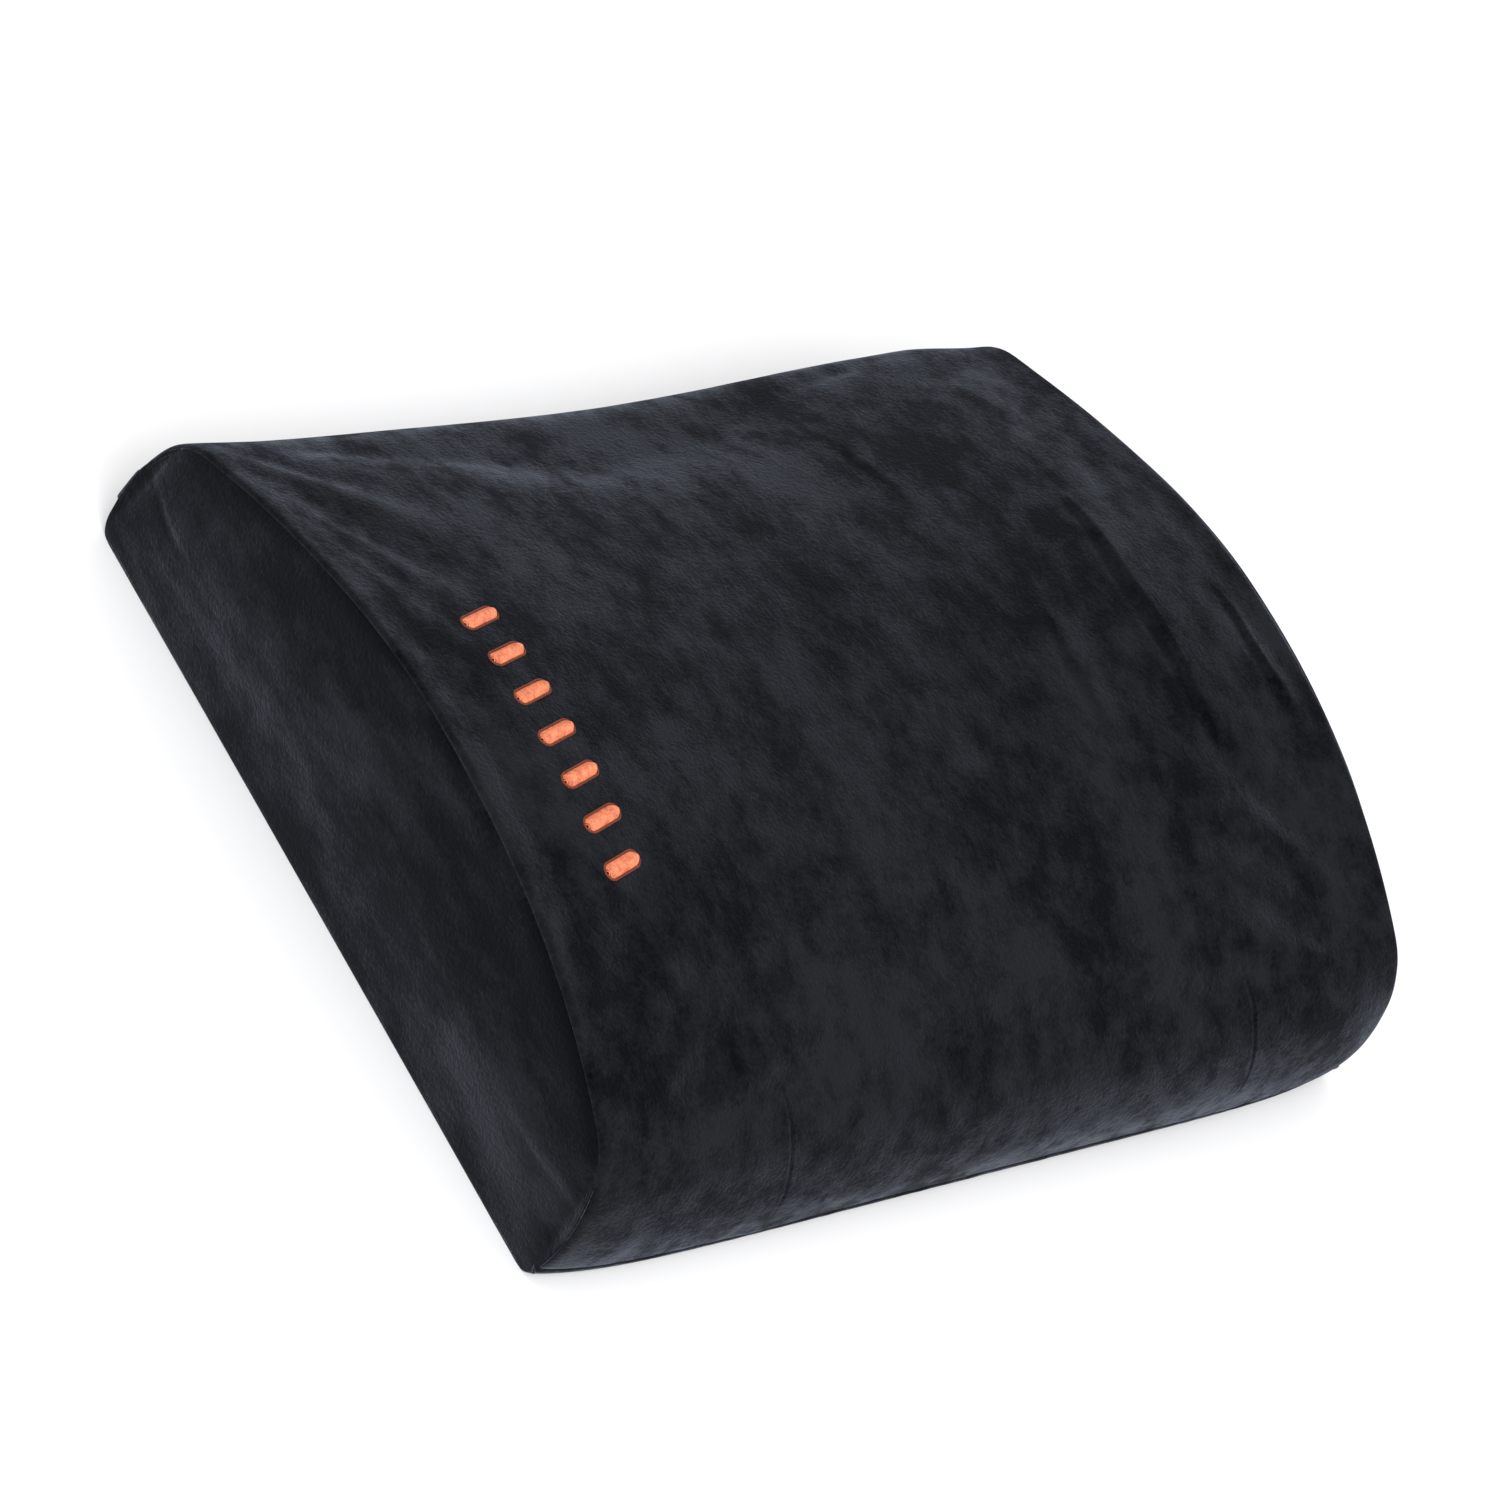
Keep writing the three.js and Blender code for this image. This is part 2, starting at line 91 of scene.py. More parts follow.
def turn(start, corner, end, steps=16):
    """Points of a soft turn from start to end round a corner."""
    points = []
    for i in range(steps + 1):
        t = i / steps
        points.append(
            (
                (1 - t) ** 2 * start[0] + 2 * t * (1 - t) * corner[0] + t * t * end[0],
                (1 - t) ** 2 * start[1] + 2 * t * (1 - t) * corner[1] + t * t * end[1],
            )
        )
    return points


def d_outline(inset, front_radius, back_radius, setback=0.0):
    """The four sides of the D section as fine (y, z) lines: back, top end, front and bottom end.

    They meet in the middle of the soft turns. The back and the front run from the bottom end to the top end,
    and the ends run from the back to the front. setback draws the top end back from the zip."""
    turns = {}
    for side in (1, -1):
        def reach(z):
            return side * (end_reach(z, inset) - (setback if side > 0 else 0))

        z = END_THICKNESS
        for _ in range(6):  # rounds that close in on the height where the end face meets the crown
            z = crown_rise(reach(z), inset)
        arc_y = reach(z) - side * front_radius
        turns[side] = {
            "back": turn(
                (reach(inset) - side * back_radius, inset),
                (reach(inset), inset),
                (reach(inset + back_radius), inset + back_radius),
            ),
            "front": turn(
                (reach(z - front_radius), z - front_radius), (reach(z), z), (arc_y, crown_rise(arc_y, inset))
            ),
        }
    half = len(turns[1]["back"]) // 2
    arc_ends = turns[-1]["front"][-1][0], turns[1]["front"][-1][0]
    arc = [(y, crown_rise(y, inset)) for y in np.linspace(*arc_ends, 120)[1:-1]]
    return {
        "back": turns[-1]["back"][half::-1] + turns[1]["back"][: half + 1],
        "top": turns[1]["back"][half:] + turns[1]["front"][: half + 1],
        "front": turns[-1]["front"][half:] + arc + turns[1]["front"][: half - 1 : -1],
        "bottom": turns[-1]["back"][half:] + turns[-1]["front"][: half + 1],
    }


def along(line, share):
    """The point a share of the way along a line of (y, z) points, by length."""
    points = np.array(line)
    lengths = np.r_[0, np.cumsum(np.linalg.norm(np.diff(points, axis=0), axis=1))]
    at = np.asarray(share) * lengths[-1]
    return np.stack([np.interp(at, lengths, points[:, 0]), np.interp(at, lengths, points[:, 1])], -1)


def ramp_up(values, start, end):
    """0 below start, 1 above end and smooth between."""
    t = np.clip((values - start) / (end - start), 0, 1)
    return t * t * (3 - 2 * t)


def settled_form(points):
    """Gives the plain D block its settled form: dished in front, swollen at the ends, fuller on the right."""
    x, y, z = points.T
    across = np.clip(np.abs(x) / HALF_WIDTH, 0, 1)
    drop = DISH_DEPTH * (1 - across**DISH_POWER) * np.clip(z - FLAT_RISE, 0, None) / (THICKNESS - FLAT_RISE)
    end = np.clip(y / HALF_HEIGHT, -1, 1)
    upper, lower = end.clip(0) ** 6, (-end).clip(0) ** 4
    belly = np.sin(math.pi * np.clip(z / END_THICKNESS, 0, 1)) ** 1.2 * END_ROUND
    arch = np.sin(math.pi * np.clip(y / HALF_HEIGHT + 1, 0, 2) / 2)
    corner = CORNER_FULLNESS * ramp_up(x, *CORNER_REACH) * (1 - 0.6 * ramp_up(x, CORNER_EASE, HALF_WIDTH))
    corner *= upper * ramp_up(z, 32 * MM, 52 * MM)
    side = SIDE_FULLNESS * ramp_up(x, 40 * MM, HALF_WIDTH) * arch * z / THICKNESS
    points[:, 0] = x + 0.5 * side
    top_belly = upper * belly * ramp_up(across, END_ROUND_FROM, 1)
    points[:, 1] = y * (1 + drop * LEAN / HALF_HEIGHT) + top_belly + 0.75 * corner
    points[:, 1] -= lower * (belly + END_BULGE * (1 - across**8) * (1 - 0.4 * z / THICKNESS))
    points[:, 2] = z - drop + 0.8 * side + 0.65 * corner
    return points


def crowded(values, power):
    """Spreads values from -1 to 1 so that they crowd towards both ends."""
    return np.sign(values) * (1 - (1 - np.abs(values)) ** power)


def coordinates(mesh):
    points = np.empty(len(mesh.vertices) * 3)
    mesh.vertices.foreach_get("co", points)
    return points.reshape(-1, 3)


def set_coordinates(mesh, points):
    mesh.vertices.foreach_set("co", np.asarray(points, float).ravel())
    mesh.update()


# The sides of a D block, as (axis, whether it faces up that axis). A face's material index holds its side.
LEFT, RIGHT, BOTTOM, TOP, BACK, FRONT = range(6)
SIDES = [(axis, up) for axis in range(3) for up in (False, True)]


def d_form(name, inset, cuts, front_radius, back_radius, setback=0.0, end_rounding=0.0):
    """A closed block of D section with a grid of square faces on each side, from a cube cut into a grid."""
    bm = bmesh.new()
    bmesh.ops.create_cube(bm, size=2)
    for axis, count in enumerate(cuts):
        edges = [e for e in bm.edges if abs((e.verts[0].co - e.verts[1].co)[axis]) > 1e-6]
        bmesh.ops.subdivide_edges(bm, edges=edges, cuts=count)
    bm.normal_update()
    for face in bm.faces:
        axis = max(range(3), key=lambda i: abs(face.normal[i]))
        face.material_index = SIDES.index((axis, face.normal[axis] > 0))
    mesh = bpy.data.meshes.new(name)
    bm.to_mesh(mesh)
    bm.free()
    grid = coordinates(mesh)
    outline = d_outline(inset, front_radius, back_radius, setback)
    u = (crowded(grid[:, 1], 1.3) + 1) / 2
    v = (crowded(grid[:, 2], 1.25) + 1) / 2
    back, front = along(outline["back"], u), along(outline["front"], u)
    bottom, top = along(outline["bottom"], v), along(outline["top"], v)
    corners = [np.array(outline[side][end]) for side in ("back", "front") for end in (0, -1)]
    u, v = u[:, None], v[:, None]
    flat = (1 - u) * (1 - v) * corners[0] + u * (1 - v) * corners[1]
    flat = flat + (1 - u) * v * corners[2] + u * v * corners[3]
    section = (1 - v) * back + v * front + (1 - u) * bottom + u * top - flat
    x = crowded(grid[:, 0], 1.35) * (HALF_WIDTH - inset)
    if end_rounding:
        beyond = np.clip(np.abs(x) - (HALF_WIDTH - inset - end_rounding), 0, end_rounding) / end_rounding
        shrink = end_rounding * (1 - np.sqrt(1 - 0.999 * beyond**2))
        middle = np.array([0, THICKNESS / 2])
        away = section - middle
        length = np.linalg.norm(away, axis=1, keepdims=True).clip(20 * MM)
        section = middle + away * (1 - shrink[:, None] / length)
    points = np.column_stack([x, section])
    set_coordinates(mesh, settled_form(points))
    mesh.polygons.foreach_set("use_smooth", [True] * len(mesh.polygons))
    piece = bpy.data.objects.new(name, mesh)
    bpy.context.scene.collection.objects.link(piece)
    return piece


class Signal:
    """A shader socket that takes part in Python sums: each operator adds one Math node."""

    def __init__(self, finish, socket):
        self.finish = finish
        self.socket = socket

    def math(self, operation, *values):
        return self.finish.node("ShaderNodeMath", {"operation": operation}, dict(enumerate(values)))

    def __add__(self, other):
        return self.math("ADD", self, other)

    def __radd__(self, other):
        return self.math("ADD", other, self)

    def __sub__(self, other):
        return self.math("SUBTRACT", self, other)

    def __mul__(self, other):
        return self.math("MULTIPLY", self, other)


class Finish:
    """A material under construction, for one of the cushion's fabrics, foams or metals."""

    def __init__(self, name, **sockets):
        self.material = bpy.data.materials.new(name)
        self.material.use_nodes = True
        self.tree = self.material.node_tree
        self.shader = self.tree.nodes["Principled BSDF"]
        for socket, value in sockets.items():
            self.set(self.shader, socket.replace("_", " "), value)

    def set(self, node, socket, value):
        target = node.inputs[socket]
        if isinstance(value, Signal):
            self.tree.links.new(value.socket, target)
        else:
            target.default_value = value

    def node(self, kind, settings=None, sockets=None, output=0):
        node = self.tree.nodes.new(kind)
        for setting, value in (settings or {}).items():
            if setting == "stops":
                ramp = node.color_ramp
                for i, (place, colour) in enumerate(value):
                    stop = ramp.elements[i] if i < 2 else ramp.elements.new(place)
                    stop.position, stop.color = place, (*colour, 1)
            else:
                setattr(node, setting, value)
        for socket, value in (sockets or {}).items():
            self.set(node, socket, value)
        return Signal(self, node.outputs[output])

    def place(self, stretch=(1, 1, 1)):
        """Where a point lies on the piece, stretched along an axis for streaks."""
        here = self.node("ShaderNodeTexCoord", output="Object")
        return self.node("ShaderNodeMapping", {}, {"Vector": here, "Scale": stretch})

    def noise(self, place, size, detail=2.0, roughness=0.5):
        """A noise whose blotches are about `size` across, from 0 to 1."""
        sockets = {"Vector": place, "Scale": 1 / size, "Detail": detail, "Roughness": roughness}
        return self.node("ShaderNodeTexNoise", {}, sockets)

    def wave(self, axis, scale):
        """Straight bands across an axis, for threads that lie side by side."""
        sockets = {"Vector": self.place(), "Scale": scale}
        return self.node("ShaderNodeTexWave", {"bands_direction": axis}, sockets)

    def ramp(self, value, stops):
        return self.node("ShaderNodeValToRGB", {"stops": stops}, {"Fac": value})

    def colour(self, value, stops):
        """Colours the finish from a value, and returns that colour."""
        shade = self.ramp(value, stops)
        self.set(self.shader, "Base Color", shade)
        return shade

    def bump(self, height, distance, strength=1.0):
        sockets = {"Height": height, "Distance": distance, "Strength": strength}
        self.normal = self.node("ShaderNodeBump", {}, sockets)
        self.set(self.shader, "Normal", self.normal)


def put_on(piece, finish):
    piece.data.polygons.foreach_set("material_index", [0] * len(piece.data.polygons))
    piece.data.materials.clear()
    piece.data.materials.append(finish.material)


FOAM_INSET = 4 * MM
FOAM_SETBACK = 4 * MM
FOAM_ROUNDING = 9 * MM
foam_block = d_form("foam_block", FOAM_INSET, (60, 48, 12), 10 * MM, 5 * MM, FOAM_SETBACK, FOAM_ROUNDING)
foam_finish = Finish("moulded_foam", Roughness=0.9, Subsurface_Weight=0.15, Subsurface_Scale=2 * MM)
foam_cells = foam_finish.noise(foam_finish.place(), 0.9 * MM, 3)
foam_cloud = foam_finish.noise(foam_finish.place(), 30 * MM, 2)
foam_tones = [(0.3, (0.62, 0.55, 0.4)), (0.65, (0.86, 0.81, 0.69))]
foam_finish.colour(foam_cells * 0.5 + foam_cloud * 0.5, foam_tones)
foam_finish.bump(foam_cells, 0.4 * MM, 0.7)
put_on(foam_block, foam_finish)
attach(foam_block, "cushion")
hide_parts("foam_core")

# ---------------------------------------------------------------------------------------------------------
# The liner: a thin knitted bag that holds the foam together when the cover is off.
# It is sewn shut round the foam from a front half and a back half, and can't be opened.

LINER_INSET = 2.6 * MM
LINER_THICKNESS = 0.7 * MM
LINER_SETBACK = 3.8 * MM
LINER_SEAM = 40 * MM
LINER_ROUNDING = 8 * MM


def cut_away(bm, point, normal):
    """Cuts a mesh along a plane and removes what lies on the side the normal points to."""
    geometry = [*bm.faces, *bm.edges, *bm.verts]
    bmesh.ops.bisect_plane(bm, geom=geometry, plane_co=point, plane_no=normal, dist=1e-7, clear_outer=True)


def thicken(piece, thickness):
    """Gives a panel its thickness, inwards from the surface that shows."""
    solid = piece.modifiers.new("thickness", "SOLIDIFY")
    solid.thickness = thickness
    solid.offset = -1
    solid.use_even_offset = False


knit_finish = Finish("liner_knit", Roughness=0.9)
knit_loops = knit_finish.wave("X", 500) * knit_finish.wave("Y", 380)
knit_finish.colour(knit_loops, [(0.0, (0.42, 0.42, 0.4)), (0.6, (0.7, 0.7, 0.68))])
knit_finish.bump(knit_loops, 0.3 * MM, 0.6)

liner_bag = d_form("liner_bag", LINER_INSET, (56, 44, 12), 11 * MM, 5 * MM, LINER_SETBACK, LINER_ROUNDING)
for node, up in (("liner_front", -1), ("liner_back", 1)):
    bm = bmesh.new()
    bm.from_mesh(liner_bag.data)
    cut_away(bm, (0, 0, LINER_SEAM + up * -0.1 * MM), (0, 0, up))
    half = bpy.data.objects.new(node + "_knit", bpy.data.meshes.new(node + "_knit"))
    bm.to_mesh(half.data)
    bm.free()
    bpy.context.scene.collection.objects.link(half)
    thicken(half, LINER_THICKNESS)
    put_on(half, knit_finish)
    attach(half, "cushion")
    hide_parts(node)
bpy.data.objects.remove(liner_bag)

# ---------------------------------------------------------------------------------------------------------
# The cover: crushed velour, cut as a front panel that wraps both ends, a back panel and two D-shaped gussets.
# They are sewn inside out and turned, so each edge rolls into its seam, and the foam plumps the cloth.

COVER = 1.1 * MM
BACK_SEAM = 6 * MM  # height of the seam between front and back panel on the bottom end
ZIP_HOLD = 16 * MM  # the cloth round the zip stays where the tapes hold it
PLUMP_CAP = 4 * MM  # the cloth never lifts further than this off the foam
PRESS_CAP = 0.6 * MM  # nor sinks further than this into it
EDGE_CARRY = 45 * MM  # the foam's edge carries the cloth over this far from the seam
CLOTH_FRAMES = 20
SLOT_EDGE = 5 * MM  # the zip shows between two edges this far from the middle of its chain
chain_low, chain_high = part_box("zip_coil_lower")[0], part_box("zip_coil_upper")[1]
ZIP_RISE = (chain_low.z + chain_high.z) / 2
SLOT_HALF = chain_high.x + 9.8 * MM


# The cloth stands this far out before its edges are rolled in, so the finished edges lie at the real size.
PROUD = 1.6 * MM
outline = d_outline(-PROUD, 12 * MM, 9 * MM)
evenly = np.linspace(0, 1, 900)
seam_line = np.vstack([along(outline[side], evenly) for side in ("back", "top", "front", "bottom")])
seam_outward = np.gradient(seam_line, axis=0)[:, ::-1] * [1, -1]
seam_outward /= np.linalg.norm(seam_outward, axis=1, keepdims=True)
seam_outward *= np.sign(((seam_line - [0, 0.4 * THICKNESS]) * seam_outward).sum(1))[:, None]
seam_tree = KDTree(len(seam_line))
for index, (y, z) in enumerate(seam_line):
    seam_tree.insert((0, y, z), index)
seam_tree.balance()


def from_seam(points):
    """Distance from the gusset seam's outline, seen from the side, and that outline's outward direction."""
    nearest = [seam_tree.find((0, y, z))[1] for _, y, z in points]
    outward = seam_outward[nearest]
    return np.abs(((points[:, 1:] - seam_line[nearest]) * outward).sum(1)), outward


def on_sides(mesh, *sides):
    """True for each point whose faces all lie on one of these sides."""
    inside = np.ones(len(mesh.vertices), bool)
    for face in mesh.polygons:
        if face.material_index not in sides:
            inside[list(face.vertices)] = False
    return inside


cover_form = d_form("cover_form", -PROUD, (100, 76, 16), 12 * MM, 9 * MM)
rest = coordinates(cover_form.data)
to_gusset = HALF_WIDTH + PROUD - np.abs(rest[:, 0])
gap = np.where(on_sides(cover_form.data, LEFT, RIGHT), from_seam(rest)[0], to_gusset)
held = np.maximum(1 - ramp_up(gap, 2 * MM, 6 * MM), 1 - ramp_up(rest[:, 2], 1 * MM, 8 * MM))
at_zip = (rest[:, 1] > HALF_HEIGHT - 2 * END_LEAN) & (rest[:, 2] < END_THICKNESS)
held_by_zip = 1 - ramp_up(np.abs(rest[:, 2] - ZIP_RISE), 0.6 * ZIP_HOLD, ZIP_HOLD)
held = np.where(at_zip, np.maximum(held, held_by_zip), held)
hold = cover_form.vertex_groups.new(name="hold")
for index, weight in enumerate(held):
    hold.add([index], float(weight), "REPLACE")
cloth = cover_form.modifiers.new("cloth", "CLOTH")
cloth.settings.quality = 5
cloth.settings.mass = 0.35
cloth.settings.tension_stiffness = 12
cloth.settings.compression_stiffness = 8
cloth.settings.shear_stiffness = 4
cloth.settings.bending_stiffness = 1.2
cloth.settings.shrink_min = -0.005
cloth.settings.use_pressure = True
cloth.settings.uniform_pressure_force = 4
cloth.settings.vertex_group_mass = "hold"
cloth.settings.pin_stiffness = 1
cloth.settings.effector_weights.gravity = 0
cloth.collision_settings.use_collision = False
cloth.point_cache.frame_end = CLOTH_FRAMES
for step in range(1, CLOTH_FRAMES + 1):
    bpy.context.scene.frame_set(step)
settled = cover_form.evaluated_get(bpy.context.evaluated_depsgraph_get())
lift = coordinates(settled.to_mesh()) - rest
settled.to_mesh_clear()
cover_form.modifiers.remove(cloth)
bpy.context.scene.frame_set(1)
normals = np.empty(len(rest) * 3)
cover_form.data.vertices.foreach_get("normal", normals)
normals = normals.reshape(-1, 3)
rise = (lift * normals).sum(1, keepdims=True)
lift += (rise.clip(-PRESS_CAP, None) - rise) * normals
lift *= ramp_up(gap, 0, EDGE_CARRY)[:, None]
reach = np.linalg.norm(lift, axis=1, keepdims=True)
capped = lift * np.tanh(reach / PLUMP_CAP) * PLUMP_CAP / np.maximum(reach, 1e-9)
set_coordinates(cover_form.data, rest + capped)

fine = cover_form.modifiers.new("fine", "SUBSURF")
fine.levels = fine.render_levels = 1
cover_mesh = bpy.data.meshes.new_from_object(cover_form.evaluated_get(bpy.context.evaluated_depsgraph_get()))
bpy.data.objects.remove(cover_form)

# Creases in the loose velour, in mm: start, end, the axis across it, bow, half width, depth and tail.
# A fold has a tail, the breadth over which it falls away again; a tuck is a fine line and has none.
CREASES = [
    ((139, 58, 78), (136, -56, 76), "x", 3.0, 1.8, 3.8, 14),
    ((172, 6, 86), (177, -62, 80), "x", 2.0, 1.9, 1.9, 7),
    ((94, 10, 82), (91, -44, 78), "x", 2.0, 2.0, 1.2, 11),
    ((66, 112, 62), (76, 62, 76), "x", 1.5, 2.2, 0.7, 12),
    ((-109, -122, 62), (-101, -152, 12), "x", 1.5, 0.7, 0.28, 0),
    ((112, -124, 62), (121, -152, 16), "x", 1.5, 0.8, 0.3, 0),
    ((-190, -102, 33), (-190, -147, 35), "z", 1.5, 2.6, 0.4, 0),
    ((-188, 105, 30), (-188, 146, 34), "z", 1.5, 2.0, 0.4, 0),
]


def crease_place(points, start, end, across, bow):
    """For each point, how far it is along a crease, how far aside of it, and how near, from 1 to 0."""
    start, end = np.array(start) * MM, np.array(end) * MM
    length = np.linalg.norm(end - start)
    run = (end - start) / length
    sideways = np.eye(3)["xyz".index(across)]
    sideways = sideways - (sideways @ run) * run
    sideways /= np.linalg.norm(sideways)
    share = ((points - start) @ run) / length
    aside = (points - start) @ sideways
    away = points - start - np.clip(share, 0, 1)[:, None] * run * length - aside[:, None] * sideways
    near = 1 - ramp_up(np.linalg.norm(away, axis=1), 18 * MM, 26 * MM)
    inside = np.clip(share, 0, 1)
    aside = aside + bow * MM * (np.sin(math.pi * inside) + 0.2 * np.sin(13 * inside + bow))
    return inside, aside, near


def cut_lines(bm, side, axis, values):
    """Cuts one side of the cover along planes across an axis, so that its edges can follow a seam there."""
    normal = [1.0 * (i == axis) for i in range(3)]
    for value in values:
        faces = [f for f in bm.faces if f.material_index == side]
        geometry = list({g for f in faces for g in (f, *f.edges, *f.verts)})
        place = [value * n for n in normal]
        bmesh.ops.bisect_plane(bm, geom=geometry, dist=1e-7, plane_co=place, plane_no=normal)


bm = bmesh.new()
bm.from_mesh(cover_mesh)
beside = [0, 0.4, 0.9, 1.6, 2.6]
cut_lines(bm, BOTTOM, 2, sorted({BACK_SEAM + sign * step * MM for step in beside for sign in (-1, 1)}))
cut_lines(bm, TOP, 2, sorted({ZIP_RISE + sign * step * MM for step in beside for sign in (-1, 1)}))
cut_lines(bm, TOP, 2, [ZIP_RISE + sign * (SLOT_EDGE + step * MM) for step in beside for sign in (-1, 1)])
cut_lines(bm, TOP, 0, [sign * (SLOT_HALF + step * MM) for step in beside for sign in (-1, 1)])
for start, end, across, bow, width, depth, tail in CREASES:
    for _ in range(2):
        centres = np.array([f.calc_center_median() for f in bm.faces])
        share, aside, near = crease_place(centres, start, end, across, bow)
        wanted = (np.abs(aside) < 3.5 * width * MM) & (near > 0.5) & (share > 0) & (share < 1)
        faces = list(bm.faces)
        coarse = 0.7 * width * MM
        edges = {e for i in np.flatnonzero(wanted) for e in faces[i].edges if e.calc_length() > coarse}
        bmesh.ops.subdivide_edges(bm, edges=list(edges), cuts=1, use_grid_fill=True)
bm.to_mesh(cover_mesh)
bm.free()


def wander(points, size, seed):
    """Smooth random values from -1 to 1 whose swells are about `size` across."""
    offset = Vector((seed * 17.3, seed * 5.1, seed * 9.7))
    return np.array([noise.noise(Vector(p) / size + offset) for p in points])


points = coordinates(cover_mesh)
normals = np.empty(len(points) * 3)
cover_mesh.vertices.foreach_get("normal", normals)
normals = normals.reshape(-1, 3)
shape = np.zeros(len(points))
for start, end, across, bow, width, depth, tail in CREASES:
    share, aside, near = crease_place(points, start, end, across, bow)
    taper = np.sin(math.pi * share) ** 0.8
    if tail:
        height = ramp_up(aside, -width * MM, width * MM) * np.exp(-((aside.clip(0) / (tail * MM)) ** 1.6))
        height -= 0.1 * np.exp(-(((aside / MM + 1.5 * width) / width) ** 2))
    else:
        height = 0.5 * np.exp(-((aside / MM - 1.6 * width) ** 2) / width**2)
        height -= np.exp(-((aside / MM / width) ** 2))
    shape += near * taper * depth * MM * height

on_gusset = on_sides(cover_mesh, LEFT, RIGHT)
gusset_gap, outward = from_seam(points)
seam_gap = np.where(on_gusset, gusset_gap, (HALF_WIDTH + PROUD - np.abs(points[:, 0])).clip(0))
above = ramp_up(points[:, 2], 4 * MM, 20 * MM)
free = above * ramp_up(seam_gap, 2 * MM, 25 * MM)
shape += free * 0.55 * MM * wander(points * [1, 0.5, 1], 60 * MM, 1)
shape += free * 0.07 * MM * wander(points * [1, 0.6, 1], 16 * MM, 2)
shape += above * 0.16 * MM * np.exp(-seam_gap / (10 * MM)) * wander(points * [0.3, 1, 1], 22 * MM, 3)
beside_zip = (points[:, 1] > HALF_HEIGHT - 2 * END_LEAN) & (points[:, 2] < 0.9 * END_THICKNESS)
shape *= np.where(beside_zip, ramp_up(np.abs(points[:, 2] - ZIP_RISE), 0.6 * ZIP_HOLD, ZIP_HOLD), 1)
points += normals * shape[:, None]


def roll(distance, length, depth):
    """How deep a panel's edge rolls into its seam, at a distance from it."""
    return depth * np.exp(-((distance / length) ** 1.4))


# The gusset turns in over a broader strip than the front, which stays crisp up to the seam.
SEAM_DEPTH = 2.2 * MM
GUSSET_ROLL = 4.2 * MM
PANEL_ROLL = 1.7 * MM
near_gusset = (HALF_WIDTH - np.abs(points[:, 0])) < 16 * MM
into = -np.column_stack([np.sign(points[:, 0]), outward]) / math.sqrt(2)
deep = roll(seam_gap, np.where(on_gusset, GUSSET_ROLL, PANEL_ROLL), SEAM_DEPTH)
# The weight of the cushion flattens its lowest seam.
deep *= 0.4 + 0.6 * ramp_up(points[:, 2], 4 * MM, 24 * MM)
points += np.where(near_gusset, deep, 0)[:, None] * into
top_side, bottom_side = on_sides(cover_mesh, TOP), on_sides(cover_mesh, BOTTOM)
off_chain = np.abs(points[:, 2] - ZIP_RISE)
past_slot = (np.abs(points[:, 0]) - SLOT_HALF).clip(0)
off_slot = np.hypot((off_chain - SLOT_EDGE).clip(0), past_slot)
points[:, 1] -= np.where(top_side, roll(off_slot, 1.3 * MM, 0.9 * MM), 0)
points[:, 1] -= np.where(top_side & (past_slot > 0), roll(off_chain, 1.1 * MM, 1.0 * MM), 0)
points[:, 1] += np.where(bottom_side, roll(np.abs(points[:, 2] - BACK_SEAM), 1.2 * MM, 1.3 * MM), 0)
# The tapes hold the cloth flat past both ends of the slot, so the pull can lie there.
from_middle = np.abs(points[:, 0])
flat = (1 - ramp_up(off_chain, 5 * MM, 13 * MM)) * ramp_up(from_middle, SLOT_HALF - 6 * MM, SLOT_HALF)
flat *= 1 - ramp_up(from_middle, HALF_WIDTH - 3 * MM, HALF_WIDTH + 1 * MM)
too_high = (points[:, 1] - end_reach(points[:, 2], 0) - 0.1 * MM).clip(0)
points[:, 1] -= np.where(top_side, flat * too_high, 0)
points[:, 2] = points[:, 2].clip(0.02 * MM)
set_coordinates(cover_mesh, points)

# Painted shade on the gussets: the velour is darkened beside the seam and towards the top end.
painted_gusset_shade = cover_mesh.attributes.new("painted_gusset_shade", "FLOAT", "POINT")
gusset_shade_amount = np.exp(-((seam_gap / (15 * MM)) ** 1.5))
gusset_shade_amount = np.maximum(gusset_shade_amount, 0.9 * ramp_up(points[:, 1], 80 * MM, 140 * MM))
painted_gusset_shade.data.foreach_set("value", np.where(on_gusset, gusset_shade_amount, 0).astype(np.float32))


def make_velour(name, stretch, light):
    """Velour: raised pile, which shines where it is seen from the side, mixed with darker crushed pile."""
    # light scales both sheens; above 1 it paints extra light onto that copy of the velour.
    finish = Finish(
        name,
        Sheen_Weight=0.285 * light,
        Sheen_Roughness=0.36,
        Sheen_Tint=(0.7, 0.8, 1.0, 1),
        Specular_IOR_Level=0.05,
        Roughness=0.95,
    )
    place = finish.place(stretch)
    patches = finish.noise(place, 45 * MM, 2)
    crush = finish.noise(place, 10 * MM, 5, 0.65)
    pile = finish.noise(finish.place(), 1.5 * MM, 3, 0.75)
    # The painted gusset shade lowers the nap, which darkens the tone and leaves less sheen there.
    gusset_shade = finish.node("ShaderNodeAttribute", {"attribute_name": "painted_gusset_shade"}, {}, "Fac")
    nap = patches * 0.38 + crush * 0.42 + pile * 0.2 - gusset_shade * 0.06
    tone = finish.colour(nap, [(0.42, (0.0012, 0.0012, 0.0017)), (0.58, (0.0102, 0.0106, 0.013))])
    finish.bump(crush * 0.5 + pile, 0.6 * MM, 0.7)
    crushed = finish.node(
        "ShaderNodeBsdfPrincipled",
        {},
        {
            "Base Color": tone,
            "Roughness": 1.0,
            "Specular IOR Level": 0.03,
            "Sheen Weight": 0.065 * light,
            "Sheen Roughness": 0.5,
            "Sheen Tint": (0.75, 0.8, 1.0, 1),
            "Normal": finish.normal,
        },
    )
    raised = Signal(finish, finish.shader.outputs["BSDF"])
    lie = finish.ramp(nap, [(0.43, (0, 0, 0)), (0.555, (1, 1, 1))])
    mixed = finish.node("ShaderNodeMixShader", {}, {"Fac": lie, 1: crushed, 2: raised})
    finish.set(finish.tree.nodes["Material Output"], "Surface", mixed)
    return finish


